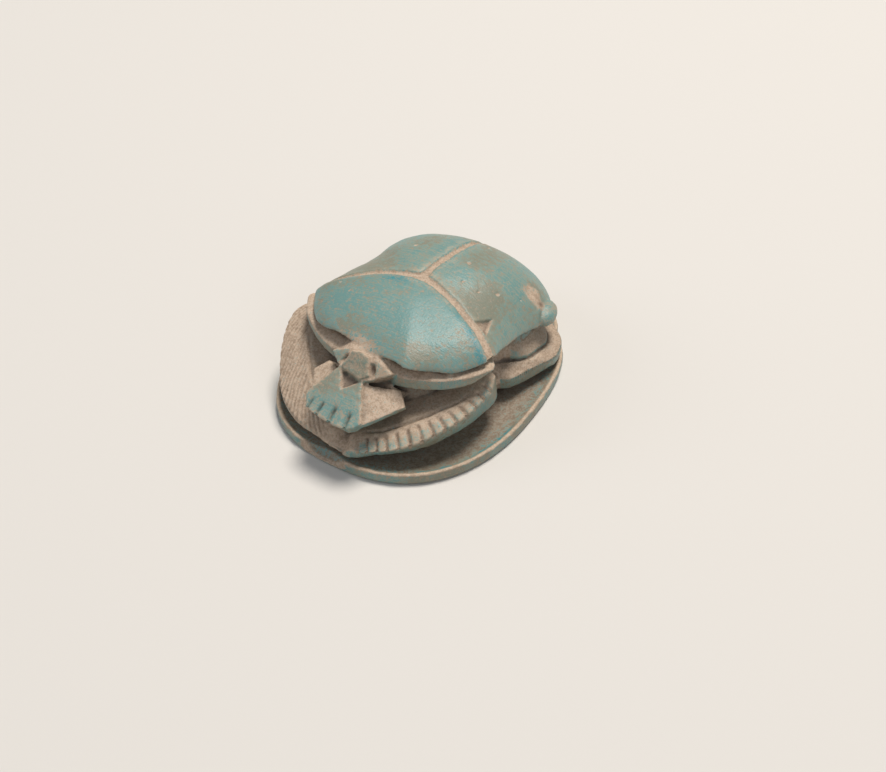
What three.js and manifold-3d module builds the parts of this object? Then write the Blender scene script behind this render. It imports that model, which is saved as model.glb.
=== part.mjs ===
// A scarab amulet: one carved piece of glazed steatite, 20 mm long, pierced from end to end.
// Millimetres. The flat base lies on z = 0, the head points to -Y, the tail to +Y and +Z is up.
// Directions on the beetle are given in degrees from the head, growing towards its +X side.

import * as THREE from 'three';
import { mergeVertices } from 'three/addons/utils/BufferGeometryUtils.js';
import Module from 'manifold-3d';

const wasm = await Module();
wasm.setup();

// Base plate
const halfLength = 10;
const halfWidth = 8.15;
const ovalPower = 2.36;
const tailTaper = 0.027;
const rimHeight = 0.8;
const dishFloor = 0.4;
const tailWear = 0.42;
const frontChip = 0.32;

// Back: pronotum in front, wing cases behind, one dome over both
const backCentreY = -0.3;
const backTop = 7.76;
const bandWidth = 0.42;
const bandDepth = 0.2;
const bandValley = 0.16;
const edgeThickness = 0.12;

// Legs
const legCuts = 13;
const legCutWidth = 0.24;
const legCutDepth = 0.2;
const lineWidth = 0.018;
const lineDepth = 0.16;

// Bore for the thread
const boreRadius = 0.8;
const boreHeight = 2.6;

// A smooth value at any direction, through a few [degrees, value] knots.
// Between knots it is a cubic whose slope is the average slope on both sides, never overshooting.
function through(knots) {
  const last = knots.length - 1;
  const step = knots.slice(1).map((knot, i) => (knot[1] - knots[i][1]) / (knot[0] - knots[i][0]));
  const slope = knots.map((knot, i) => {
    if (i === 0 || i === last || step[i - 1] * step[i] <= 0) return 0;
    return (2 * step[i - 1] * step[i]) / (step[i - 1] + step[i]);
  });
  return (at) => {
    if (at <= knots[0][0]) return knots[0][1];
    if (at >= knots[last][0]) return knots[last][1];
    const i = knots.findIndex((knot, k) => k < last && at < knots[k + 1][0]);
    const span = knots[i + 1][0] - knots[i][0];
    const t = (at - knots[i][0]) / span;
    const fromStart = (1 + 2 * t) * (1 - t) ** 2 * knots[i][1] + t * (1 - t) ** 2 * span * slope[i];
    const fromEnd = t * t * (3 - 2 * t) * knots[i + 1][1] + t * t * (t - 1) * span * slope[i + 1];
    return fromStart + fromEnd;
  };
}

const radians = THREE.MathUtils.degToRad;
const up = new THREE.Vector3(0, 0, 1);
const mirrored = (curve) => (angle) => curve(Math.abs(angle));

// A closed body from rings of equal count, with a pole at each end. Rings run from bottom to top.
function loft(rings, bottomPole, topPole) {
  const count = rings[0].length;
  const positions = [...bottomPole, ...rings.flat(2), ...topPole];
  const top = 1 + rings.length * count;
  const index = [];
  for (let i = 0; i < count; i++) {
    const next = (i + 1) % count;
    index.push(0, 1 + next, 1 + i);
    index.push(top, top - count + i, top - count + next);
    for (let ring = 0; ring < rings.length - 1; ring++) {
      const lower = 1 + ring * count;
      const upper = lower + count;
      index.push(lower + i, lower + next, upper + next);
      index.push(lower + i, upper + next, upper + i);
    }
  }
  const geometry = new THREE.BufferGeometry();
  geometry.setAttribute('position', new THREE.Float32BufferAttribute(positions, 3));
  geometry.setIndex(index);
  return geometry;
}

// The directions of a ring: -180 to 180 degrees, anticlockwise seen from above.
function ringAngles(count) {
  return Array.from({ length: count }, (_, i) => -180 + (360 * i) / count);
}

// A point at a direction and a reach from a centre on the midline, at height z.
function polar(angle, reach, z, centreY = 0) {
  return [reach * Math.sin(radians(angle)), centreY - reach * Math.cos(radians(angle)), z];
}

// The mean of some [x, y, z] points
function middleOf(points) {
  return [0, 1, 2].map((k) => points.reduce((sum, point) => sum + point[k], 0) / points.length);
}

// Flat-sided block under an outline of [x, y, z] points, seen anticlockwise from above,
// whose underside is the outline moved by drop and drawn in towards its middle by shrink.
function block(outline, drop, shrink = 1) {
  const middle = middleOf(outline);
  const under = outline.map((point) => point.map((v, k) => middle[k] + (v - middle[k]) * shrink + drop[k]));
  return loft([under, outline], middleOf(under), middle);
}

// A cutter carried along a path of { at, up } stations: a trapezium, wide above the surface
// and narrower below it.
function groove(stations, width, depth, rise = 0.5) {
  const wide = (width / 2) * (1 + (0.3 * rise) / depth);
  const narrow = (width / 2) * 0.7;
  const section = [[-wide, rise], [wide, rise], [narrow, -depth], [-narrow, -depth]];
  const rings = stations.map(({ at, up }, i) => {
    const before = stations[Math.max(i - 1, 0)].at;
    const after = stations[Math.min(i + 1, stations.length - 1)].at;
    const along = after.clone().sub(before).normalize();
    const side = along.clone().cross(up).normalize();
    return section.map(([across, high]) => {
      return at.clone().addScaledVector(side, across).addScaledVector(up, high).toArray();
    });
  });
  return loft(rings, middleOf(rings[0]), middleOf(rings[rings.length - 1]));
}

// Geometry to manifold solid and back
function solid(geometry) {
  const merged = mergeVertices(geometry.clone().deleteAttribute('normal').deleteAttribute('uv'), 1e-5);
  const vertProperties = new Float32Array(merged.attributes.position.array);
  const triVerts = new Uint32Array(merged.index.array);
  return new wasm.Manifold(new wasm.Mesh({ numProp: 3, vertProperties, triVerts }));
}

function geometryOf(manifold) {
  const mesh = manifold.getMesh();
  const geometry = new THREE.BufferGeometry();
  geometry.setAttribute('position', new THREE.BufferAttribute(new Float32Array(mesh.vertProperties), 3));
  geometry.setIndex(new THREE.BufferAttribute(new Uint32Array(mesh.triVerts), 1));
  return geometry;
}

// A bump of height 1 at a direction, fading out over a spread, both in degrees.
function bump(angle, centre, spread) {
  return Math.exp(-(((angle - centre) / spread) ** 2));
}

// Reach of a rounded oval of a half width in a direction
function ovalReach(angle, width) {
  const across = Math.abs(Math.sin(radians(angle))) / width;
  const along = Math.abs(Math.cos(radians(angle))) / halfLength;
  return (across ** ovalPower + along ** ovalPower) ** (-1 / ovalPower);
}

// Reach of the base: the oval, slightly narrower towards the tail, with the rim worn back
// on one side of the tail.
function baseReach(angle) {
  const tailward = (-Math.cos(radians(angle)) * ovalReach(angle, halfWidth)) / halfLength;
  const width = halfWidth * (1 - tailTaper * tailward);
  return ovalReach(angle, width) - tailWear * bump(angle, 143, 12);
}

// Base plate: flat underside, upright rim, and a dished top that runs in under the legs.
// The rim's top edge is chipped away in front of the head; chipped says how much each station loses.
function basePlate() {
  const angles = ringAngles(90);
  const profile = [
    { inset: 0.12, z: 0, chipped: 0 },
    { inset: 0, z: 0.12, chipped: 0.2 },
    { inset: 0, z: rimHeight - 0.12, chipped: 1 },
    { inset: 0.07, z: rimHeight, chipped: 1 },
    { inset: 0.26, z: rimHeight - 0.02, chipped: 0.8 },
    { inset: 1.1, z: 0.52, chipped: 0 },
    { inset: 2.6, z: dishFloor, chipped: 0 },
  ];
  const rings = profile.map(({ inset, z, chipped }) => angles.map((angle) => {
    const loss = frontChip * chipped * bump(angle, -4, 9);
    return polar(angle, baseReach(angle) - inset - loss, z - 0.5 * loss);
  }));
  return loft(rings, [0, 0, 0], [0, 0, dishFloor]);
}

// Direction of each cut across a front leg, by its number from the front
const legCutAngle = through([[0, 8], [4, 22], [12, 63]]);

// Legs: one ledge round the body. Reaches are shares of the base's reach, heights are in mm.
const ledge = {
  lowReach: through([
    [-180, 0.92], [-125, 0.93], [-100, 0.9], [-80, 0.92], [-55, 0.955], [-20, 0.952], [-10, 0.935],
    [0, 0.945], [5, 0.965], [16, 0.9], [32, 0.852], [50, 0.82], [70, 0.815], [80, 0.775],
    [90, 0.785], [101, 0.86], [117, 0.895], [125, 0.93], [180, 0.92],
  ]),
  lowHeight: through([
    [-180, 1], [-123, 1.05], [-100, 1.4], [-78, 2.2], [-60, 1.95], [-40, 1.5], [-20, 1.25],
    [-8, 1.05], [0, 0.9], [8, 1.1], [24, 1.4], [50, 1.85], [70, 2.15], [80, 2.2], [89, 1.7],
    [101, 1.4], [117, 1.1], [125, 1], [180, 1],
  ]),
  topReach: through([
    [-180, 0.9], [-125, 0.925], [-100, 0.88], [-84, 0.85], [-76, 0.93], [-66, 0.974], [-46, 0.965],
    [-20, 0.955], [-9, 0.93], [0, 0.93], [6, 0.966], [14, 0.95], [21, 0.935], [36, 0.895],
    [54, 0.873], [66, 0.84], [76, 0.765], [84, 0.76], [90, 0.775], [101, 0.85], [117, 0.885],
    [125, 0.92], [180, 0.9],
  ]),
  topHeight: through([
    [-180, 1.3], [-123, 1.4], [-100, 1.8], [-84, 2.7], [-75, 4.05], [-66, 3.9], [-55, 3.3],
    [-40, 2.2], [-20, 1.7], [-10, 1.5], [-3, 1], [2, 1], [6, 1.7], [14, 1.92], [28, 2.42],
    [44, 3.12], [65, 3.67], [76, 3.9], [84, 2.7], [90, 2.1], [101, 1.8], [117, 1.5], [180, 1.3],
  ]),
  lineReach: mirrored(through([
    [0, 0.84], [15, 0.826], [23, 0.784], [32, 0.759], [42, 0.748], [52, 0.767], [66, 0.74],
    [76, 0.68], [88, 0.66], [100, 0.7], [104, 0.764], [109, 0.803], [117, 0.827], [125, 0.85],
    [180, 0.84],
  ])),
  lineHeight: mirrored(through([
    [0, 1.4], [6, 2.1], [15, 2.6], [23, 2.82], [32, 3.12], [42, 3.42], [52, 3.72], [66, 4],
    [76, 4.1], [88, 3], [100, 2.72], [109, 2.5], [117, 2.4], [125, 2.2], [180, 2],
  ])),
  innerReach: mirrored(through([
    [0, 0.66], [20, 0.6], [40, 0.6], [66, 0.62], [80, 0.64], [100, 0.64], [120, 0.68], [180, 0.7],
  ])),
  innerHeight: mirrored(through([
    [0, 1.9], [12, 2.6], [30, 3.3], [50, 3.8], [66, 4.3], [80, 3.8], [100, 3.2], [120, 3], [180, 2.8],
  ])),
};

// The line along the legs is deepest along their middle and fades out where they end.
const lineFade = mirrored(through([[5, 0], [12, 1], [48, 1], [60, 0.2], [90, 0.2], [99, 1], [125, 1], [140, 0]]));

function bodyAndLegs() {
  const angles = ringAngles(128);
  const ringOf = (place) => angles.map((angle) => {
    const [share, z] = place(angle);
    return polar(angle, share * baseReach(angle), z);
  });
  const { lowReach, lowHeight, topReach, topHeight } = ledge;
  const { lineReach, lineHeight, innerReach, innerHeight } = ledge;
  const rings = [
    ringOf(() => [0.62, 0.2]),
    ringOf(() => [0.62, 0.7]),
    ringOf((angle) => [lowReach(angle) - 0.11, lowHeight(angle) - 0.25]),
    ringOf((angle) => [lowReach(angle), lowHeight(angle)]),
    ringOf((angle) => [topReach(angle), topHeight(angle)]),
    ringOf((angle) => [lineReach(angle) + lineWidth, lineHeight(angle)]),
    ringOf((angle) => [lineReach(angle), lineHeight(angle) - lineDepth * lineFade(angle)]),
    ringOf((angle) => [lineReach(angle) - lineWidth, lineHeight(angle)]),
    ringOf((angle) => [innerReach(angle), innerHeight(angle)]),
    ringOf((angle) => [innerReach(angle) - 0.06, innerHeight(angle) + 1]),
    ringOf((angle) => [innerReach(angle) - 0.2, 5]),
  ];
  return loft(rings, [0, 0, 0.2], [0, 0, 5]);
}

// Back: the outline's reach from the dome's centre, its height, and how the dome falls to it.
const back = {
  reach: through([
    [-180, 9.14], [-154, 8.9], [-141, 8.3], [-131, 7.5], [-115, 6.4], [-104, 6.1], [-90, 6.1],
    [-78, 6.45], [-70.5, 6.84], [-63, 6.7], [-54, 6.55], [-45, 6.4], [-34, 6], [-27, 5.7],
    [-10, 5.2], [0, 5.1], [10, 5.3], [20, 6.05], [27, 6.45], [39, 6.42], [47, 6.59], [54, 6.7],
    [63, 6.75], [70.5, 6.84], [78, 6.5], [90, 6.15], [104, 6.28], [115, 6.84], [123, 7.6],
    [131, 8.2], [141, 8.75], [154, 9], [180, 9.14],
  ]),
  edge: mirrored(through([
    [0, 6.45], [20, 6.45], [27, 6.3], [39, 5.95], [54, 5.75], [63, 5.75], [70.5, 5.8], [78, 5.5],
    [90, 5], [104, 4.6], [115, 4.25], [123, 3.9], [140, 3.7], [180, 3.7],
  ])),
  fullness: mirrored(through([[0, 2.4], [45, 2.1], [75, 2], [90, 2], [120, 2.2], [150, 2.8], [180, 3.4]])),
  fall: mirrored(through([[0, 0.8], [45, 0.6], [90, 0.6], [120, 0.65], [150, 0.8], [180, 1.03]])),
};

// Point of the back in a direction, at a share of the way from the centre to the edge.
function backPoint(angle, share) {
  const edge = back.edge(angle);
  const height = edge + (backTop - edge) * (1 - share ** back.fullness(angle)) ** back.fall(angle);
  const valley = bandValley * share ** 2 * (1 - share ** 6) * bump(Math.abs(angle), 75, 9);
  return polar(angle, share * back.reach(angle), height - valley, backCentreY);
}

// Point of the back above a place on the base
function backAbove(x, y) {
  const angle = THREE.MathUtils.radToDeg(Math.atan2(x, backCentreY - y));
  return backPoint(angle, Math.hypot(x, y - backCentreY) / back.reach(angle));
}

function backDome() {
  const angles = ringAngles(90);
  const ringAt = (share) => angles.map((angle) => backPoint(angle, share));
  const underRing = (inset, drop) => angles.map((angle) => {
    return polar(angle, back.reach(angle) - inset, back.edge(angle) - drop, backCentreY);
  });
  const shares = [1, 0.985, 0.95, 0.9, 0.82, 0.72, 0.6, 0.47, 0.34, 0.2, 0.08];
  const rings = [underRing(2.4, 0.9), underRing(0.5, edgeThickness), ...shares.map(ringAt)];
  return loft(rings, [0, backCentreY, 4], [0, backCentreY, backTop]);
}

// Collar: the ledge that stands out below the pronotum's edge.
const collar = {
  reach: mirrored(through([
    [0, 6.15], [10, 6.15], [16, 5.95], [21, 6], [34, 6.2], [44.4, 6.45], [52, 6.65], [59, 6.9],
    [67, 7.05], [71, 7.11], [75, 6.8], [80, 6.1], [90, 5.5], [180, 5.5],
  ])),
  top: mirrored(through([
    [0, 6.25], [8, 6.2], [14, 5.95], [20, 5.4], [26, 5.22], [45, 5.2], [60, 5.25], [71, 5.4],
    [80, 5], [180, 4.4],
  ])),
  bottom: mirrored(through([[0, 4.8], [22, 4.5], [50, 4.5], [60, 4.65], [71, 5.1], [80, 4.6], [180, 4]])),
};

function collarRing() {
  const angles = ringAngles(90);
  const ringOf = (inset, height) => angles.map((angle) => {
    return polar(angle, collar.reach(angle) - inset, height(angle), backCentreY);
  });
  const rings = [
    ringOf(1.3, (angle) => collar.bottom(angle) - 0.5),
    ringOf(0.12, collar.bottom),
    ringOf(0, (angle) => collar.bottom(angle) + 0.12),
    ringOf(0, (angle) => collar.top(angle)),
    ringOf(0.75, (angle) => collar.top(angle) + 0.08),
    ringOf(2, (angle) => collar.top(angle) + 0.3),
  ];
  return loft(rings, [0, backCentreY, 3.8], [0, backCentreY, 5.6]);
}

// Head: crown plate, an eye plate on each side of it, the fan-shaped front and its sloping cheeks,
// all carried by the neck below them.
const crown = [
  [0.61, -6.4, 6.4], [0, -6.3, 6.5], [-0.61, -6.4, 6.4], [-1.01, -6.96, 5.52],
  [-0.5, -7.25, 5.22], [0.5, -7.25, 5.22], [1.01, -6.96, 5.52],
];
const front = [
  [0.95, -7.3, 5.25], [-0.95, -7.3, 5.25], [-2.1, -9.15, 4.05],
  [-1.4, -9.75, 3.85], [1.1, -9.8, 3.85], [1.85, -9.4, 4],
];
const eyePlate = [[0.85, -6.19, 6.3], [1.33, -6.98, 5.48], [2.2, -6.37, 5.75]];
const cheek = [[0.9, -7.2, 5.05], [1.85, -9.4, 3.9], [3.32, -6.85, 4.1], [2.58, -6.2, 4.6]];
const neck = [
  [2.5, -6.1, 4.45], [1, -6.4, 4.9], [-1, -6.4, 4.9],
  [-2.5, -6.1, 4.45], [-1.5, -8.4, 3.9], [1.5, -8.4, 3.9],
];

function onSide(outline, side) {
  const placed = outline.map(([x, y, z]) => [side * x, y, z]);
  return side > 0 ? placed : placed.reverse();
}

function headBlocks() {
  const paired = [1, -1].flatMap((side) => [
    block(onSide(eyePlate, side), [0, 1.2, -0.8]),
    block(onSide(cheek, side), [0, 0.3, -0.5], 0.92),
  ]);
  return [
    block(crown, [0, 1.2, -0.9]),
    block(front, [0, 0.5, -0.9], 0.88),
    block(neck, [0, 2.3, -2.6], 0.9),
    ...paired,
  ];
}

// Notches along the front edge of the head
function frontNotches() {
  return [-1.55, -0.75, 0.15, 1].map((x) => groove([
    { at: new THREE.Vector3(x * 0.9, -9.15, 4.12), up },
    { at: new THREE.Vector3(x * 1.05, -10, 3.72), up },
  ], 0.24, 0.14));
}

// Knob at the rear corner of one wing case
function cornerKnob() {
  const geometry = new THREE.SphereGeometry(1, 16, 10);
  geometry.scale(0.8, 1.15, 0.6);
  geometry.rotateZ(0.35);
  geometry.translate(6.05, 4.8, 4.05);
  return geometry;
}

// Shallow three-cornered notch at the shoulder of one wing case
const shoulderNotch = [[5.45, -1.3], [4.85, 0.35], [4.1, -0.75]];
const shoulderDepth = 0.16;

// Bands: along the back of the pronotum and down the seam of the wing cases.
function bandStations(points) {
  return points.map(([angle, share]) => {
    const at = new THREE.Vector3(...backPoint(angle, share));
    return { at, up: new THREE.Vector3(at.x * 0.1, 0, 1).normalize() };
  });
}

function bandCutters() {
  const cross = [];
  for (let share = 1.0; share > 0.05; share -= 0.08) cross.push([71 + 12 * (1 - share), share]);
  const wholeCross = [...cross.map(([angle, share]) => [-angle, share]), ...cross.slice().reverse()];
  const seam = [];
  for (let share = 0; share < 0.97; share += 0.08) seam.push([180, share]);
  const shoulder = shoulderNotch.map(([x, y]) => backAbove(x, y)).map(([x, y, z]) => [x + 0.4, y, z + 0.6]);
  return [
    groove(bandStations(wholeCross), bandWidth, bandDepth),
    groove(bandStations(seam), bandWidth, bandDepth),
    block(shoulder, [-0.4 - 0.6 * shoulderDepth, 0, -0.6 - shoulderDepth]),
  ];
}

// Cuts across the rim of each front leg, and the gap behind it
function legCutters() {
  const cuts = [1, -1].flatMap((side) => Array.from({ length: legCuts }, (_, i) => {
    const angle = side * legCutAngle(i);
    const reach = baseReach(angle);
    const outer = polar(angle, (ledge.topReach(angle) + 0.03) * reach, ledge.topHeight(angle) - 0.08);
    const inner = polar(angle, (ledge.lineReach(angle) + 0.05) * reach, ledge.lineHeight(angle));
    const stations = [inner, outer].map((point) => ({ at: new THREE.Vector3(...point), up }));
    return groove(stations, legCutWidth, legCutDepth, 0.4);
  }));
  const gaps = [1, -1].map((side) => {
    const place = (share, z) => new THREE.Vector3(...polar(side * 83, share * baseReach(side * 83), z));
    return groove([{ at: place(0.66, 2.9), up }, { at: place(0.98, 2.6), up }], 0.5, 1, 2);
  });
  return [...cuts, ...gaps];
}

function bore() {
  const geometry = new THREE.CylinderGeometry(boreRadius, boreRadius, 24, 20);
  geometry.translate(0, 0, boreHeight);
  return geometry;
}

let scarab = solid(basePlate());
const added = [bodyAndLegs(), backDome(), collarRing(), cornerKnob(), ...headBlocks()];
const cutAway = [...bandCutters(), ...legCutters(), ...frontNotches()];
for (const geometry of added) scarab = scarab.add(solid(geometry));
for (const geometry of cutAway) scarab = scarab.subtract(solid(geometry));
scarab = scarab.subtract(solid(bore()));

const glazedSteatite = new THREE.MeshStandardMaterial({ color: 0x5f8f8a, roughness: 0.6, metalness: 0 });
const mesh = new THREE.Mesh(geometryOf(scarab), glazedSteatite);
mesh.name = 'scarab';

const group = new THREE.Group();
group.add(mesh);

export default group;
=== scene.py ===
import bpy
import numpy as np
from mathutils import Matrix, Vector


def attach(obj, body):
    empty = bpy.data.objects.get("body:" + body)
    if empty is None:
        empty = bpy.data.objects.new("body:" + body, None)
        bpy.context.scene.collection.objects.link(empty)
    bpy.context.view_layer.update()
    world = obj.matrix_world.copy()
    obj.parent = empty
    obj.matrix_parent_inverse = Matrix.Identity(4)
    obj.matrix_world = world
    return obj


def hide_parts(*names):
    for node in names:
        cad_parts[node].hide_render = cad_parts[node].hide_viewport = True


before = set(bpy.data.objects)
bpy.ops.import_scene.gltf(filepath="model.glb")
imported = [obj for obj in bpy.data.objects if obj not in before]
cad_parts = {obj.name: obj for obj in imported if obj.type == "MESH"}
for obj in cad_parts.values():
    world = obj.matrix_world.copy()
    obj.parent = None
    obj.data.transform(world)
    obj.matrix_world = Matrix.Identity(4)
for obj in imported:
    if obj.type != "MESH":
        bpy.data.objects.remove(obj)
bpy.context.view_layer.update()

# A scarab amulet, carved from one piece of glazed steatite and worn by handling.
# Shapes are worked out in millimetres, with the head towards -Y, the tail towards +Y and the flat
# base on z = 0. Directions are degrees from the head, growing towards +X. Meshes end up in metres.


mm = 0.001


def through(*knots):  # smooth curve through [at, value] knots
    # the slope at a knot is the harmonic mean of the steps on its two sides
    at, value = np.array(knots, float).T
    step = np.diff(value) / np.diff(at)
    product, total = step[:-1] * step[1:], step[:-1] + step[1:]
    slope = np.zeros(len(at))
    slope[1:-1] = np.where(product > 0, 2 * product / np.where(total == 0, 1, total), 0)

    def curve(x):
        x = np.clip(x, at[0], at[-1])
        i = np.clip(np.searchsorted(at, x, side="right") - 1, 0, len(at) - 2)
        span = at[i + 1] - at[i]
        t = (x - at[i]) / span
        fromStart = (1 + 2 * t) * (1 - t) ** 2 * value[i] + t * (1 - t) ** 2 * span * slope[i]
        return fromStart + t * t * (3 - 2 * t) * value[i + 1] + t * t * (t - 1) * span * slope[i + 1]
    return curve


def mirrored(curve):
    return lambda angle: curve(np.abs(angle))


def bump(value, centre, spread):  # bell of height 1
    return np.exp(-((value - centre) / spread) ** 2)


def ramp(low, high, value):  # 0 at low, 1 at high, eased at both ends; low may be above high
    t = np.clip((value - low) / (high - low), 0, 1)
    return t * t * (3 - 2 * t)


def cloud(points, size, seed=0):  # random field from -1 to 1, blended between lattice corners size mm apart
    spot = points / np.asarray(size, float)
    cell = np.floor(spot).astype(np.int64)
    t = spot - cell
    t = t * t * (3 - 2 * t)
    total = np.zeros(len(points))
    for corner in range(8):
        offset = np.array([corner & 1, corner >> 1 & 1, corner >> 2 & 1])
        mixed = ((cell + offset) * np.array([73856093, 19349663, 83492791])).sum(1) + seed * 668265263
        mixed = (mixed ^ (mixed >> 13)) * 1274126177 & 0xFFFFFFFF
        mixed = (mixed ^ (mixed >> 16)) * 2246822519 & 0xFFFFFFFF
        total += np.prod(np.where(offset == 1, t, 1 - t), axis=1) * (mixed / 2147483647.5 - 1)
    return total


def roundAngles(count):
    return -180 + 360 * np.arange(count) / count


def polar(angle, reach, z, centreY=0.0):  # points at a direction and a reach from a centre on the midline
    turn = np.radians(angle)
    return np.stack(np.broadcast_arrays(reach * np.sin(turn), centreY - reach * np.cos(turn), z), axis=-1)


def closedShell(rings, bottomPole, topPole):
    # rings is rows x columns x 3 from bottom to top, anticlockwise from above; a pole closes each end
    rows, columns = rings.shape[:2]
    points = np.vstack([[bottomPole], rings.reshape(-1, 3), [topPole]])
    here = 1 + np.arange(columns)
    after = 1 + (np.arange(columns) + 1) % columns
    lift = (np.arange(rows - 1) * columns)[:, None]
    sides = [np.stack([here + lift, after + lift, after + lift + columns], -1).reshape(-1, 3),
             np.stack([here + lift, after + lift + columns, here + lift + columns], -1).reshape(-1, 3)]
    last = (rows - 1) * columns
    bottom = np.stack([0 * here, after, here], -1)
    top = np.stack([0 * here + len(points) - 1, here + last, after + last], -1)
    return points, np.vstack(sides + [bottom, top])


plate = {
    "halfLength": 10.0, "halfWidth": 8.15, "ovalPower": 2.36, "tailTaper": 0.027,
    "rimHeight": 0.8, "dishFloor": 0.4,
    "tailWear": 0.36, "tailWearAt": 139, "tailWearSpread": 7,
    "chip": 0.55, "chipAt": -5, "chipSpread": 9,
}


def ovalReach(angle, width):  # superellipse: (across / width)^p + (along / length)^p = 1
    across = np.abs(np.sin(np.radians(angle))) / width
    along = np.abs(np.cos(np.radians(angle))) / plate["halfLength"]
    return (across ** plate["ovalPower"] + along ** plate["ovalPower"]) ** (-1 / plate["ovalPower"])


def baseReach(angle):  # the oval, narrower towards the tail, worn back on one side of the tail
    tailward = -np.cos(np.radians(angle)) * ovalReach(angle, plate["halfWidth"]) / plate["halfLength"]
    width = plate["halfWidth"] * (1 - plate["tailTaper"] * tailward)
    worn = plate["tailWear"] * bump(angle, plate["tailWearAt"], plate["tailWearSpread"])
    return ovalReach(angle, width) - worn


def basePlate():  # profile of [inset, height, share of the chip], carried round the oval
    profile = [
        [0.14, 0, 0], [0.04, 0.04, 0], [0, 0.14, 0], [0, 0.34, 0.5], [0.02, 0.7, 1], [0.06, 0.79, 1],
        [0.13, 0.8, 1], [0.24, 0.74, 0.9], [0.5, 0.65, 0.6], [1.1, 0.52, 0.1], [1.7, 0.44, 0], [2.6, 0.4, 0],
    ]
    angles = roundAngles(400)
    loss = plate["chip"] * bump(angles, plate["chipAt"], plate["chipSpread"])
    rings = [polar(angles, baseReach(angles) - inset - loss * chipped, z - 0.4 * loss * chipped)
             for inset, z, chipped in profile]
    return closedShell(np.array(rings), [0, 0, 0], [0, 0, plate["dishFloor"]])


# Reaches are shares of the base's reach; low is the ledge's lower edge, top its upper edge,
# line the incised line on it and inner the foot of the body's wall.
legs = {
    "lowReach": through(
        [-180, 0.92], [-150, 0.95], [-125, 0.975], [-114, 0.93], [-104, 0.86], [-96, 0.8], [-90, 0.74],
        [-84, 0.74], [-78, 0.9], [-70, 0.94], [-55, 0.955], [-20, 0.952], [-10, 0.935], [0, 0.945],
        [5, 0.965], [16, 0.9], [32, 0.852], [50, 0.82], [70, 0.815], [77, 0.78], [82, 0.69], [88, 0.68],
        [93, 0.74], [99.6, 0.8], [108.6, 0.876], [114, 0.931], [119, 0.975], [124, 0.985], [135, 0.98],
        [150, 0.955], [180, 0.92]),
    "lowHeight": through(
        [-180, 1], [-123, 1.05], [-100, 1.15], [-90, 1.3], [-78, 2.1], [-60, 1.95], [-40, 1.5],
        [-20, 1.25], [-8, 1.05], [0, 0.9], [8, 1.1], [24, 1.4], [50, 1.85], [70, 2.15], [80, 1.9],
        [88, 1.3], [95, 1.15], [117, 1.1], [125, 1.05], [180, 1]),
    "topReach": through(
        [-180, 0.9], [-150, 0.94], [-128, 0.975], [-116, 0.95], [-106, 0.88], [-98, 0.82], [-90, 0.72],
        [-84, 0.72], [-78, 0.88], [-72, 0.95], [-66, 0.974], [-46, 0.965], [-20, 0.955], [-9, 0.93],
        [0, 0.93], [6, 0.966], [14, 0.95], [21, 0.935], [36, 0.895], [54, 0.873], [66, 0.84], [74, 0.79],
        [79, 0.74], [83, 0.68], [88, 0.69], [94, 0.78], [99, 0.811], [103, 0.838], [109.4, 0.902],
        [114, 0.962], [118, 0.985], [124, 0.99], [130, 0.98], [140, 0.955], [160, 0.92], [180, 0.9]),
    "topHeight": through(
        [-180, 1.3], [-165, 1.4], [-145, 1.7], [-120, 1.95], [-92, 2.1], [-84, 2.4], [-75, 4.05],
        [-66, 3.9], [-55, 3.3], [-40, 2.2], [-20, 1.7], [-10, 1.5], [-3, 1], [2, 1], [6, 1.7], [14, 1.92],
        [28, 2.42], [44, 3.12], [65, 3.67], [76, 3.8], [83, 2.3], [88, 2.05], [94, 2.1], [109, 2],
        [120, 1.95], [130, 1.9], [145, 1.7], [165, 1.4], [180, 1.3]),
    "lineReach": mirrored(through(
        [0, 0.84], [15, 0.826], [23, 0.784], [32, 0.759], [42, 0.748], [52, 0.767], [66, 0.74],
        [74, 0.69], [80, 0.62], [90, 0.61], [98, 0.66], [102, 0.7], [105.5, 0.765], [109.5, 0.82],
        [116, 0.86], [122.8, 0.9], [135, 0.88], [150, 0.85], [180, 0.84])),
    "lineHeight": mirrored(through(
        [0, 1.4], [6, 2.1], [15, 2.6], [23, 2.82], [32, 3.12], [42, 3.42], [52, 3.72], [66, 4], [75, 4.1],
        [82, 3.2], [90, 2.9], [98, 2.7], [105, 2.5], [116, 2.4], [124, 2.35], [140, 2.2], [180, 2])),
    "innerReach": mirrored(through(
        [0, 0.66], [20, 0.6], [40, 0.6], [66, 0.62], [80, 0.57], [90, 0.56], [98, 0.62], [110, 0.73],
        [125, 0.79], [150, 0.8], [180, 0.81])),
    "innerHeight": mirrored(through(
        [0, 1.9], [12, 2.6], [30, 3.3], [50, 3.8], [66, 4.3], [80, 3.9], [98, 3.75], [110, 3.5],
        [125, 3.2], [150, 2.6], [180, 2.3])),
    "lineFade": mirrored(through(
        [5, 0], [12, 1], [48, 1], [60, 0.2], [92, 0.1], [101, 1], [125, 1], [140, 0])),
    "lineWidth": 0.16, "lineDepth": 0.14,
    "cutAt": through([6, 0], [8, 0.6], [22, 4.5], [63, 13], [76, 15]),  # number of cuts passed, by direction
    "cutWidth": 0.22, "cutDepth": 0.15, "cutLean": 2.6,
    "strokeSpacing": 0.42, "hindSpacing": 0.3, "strokeDepth": 0.1,
}


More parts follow.
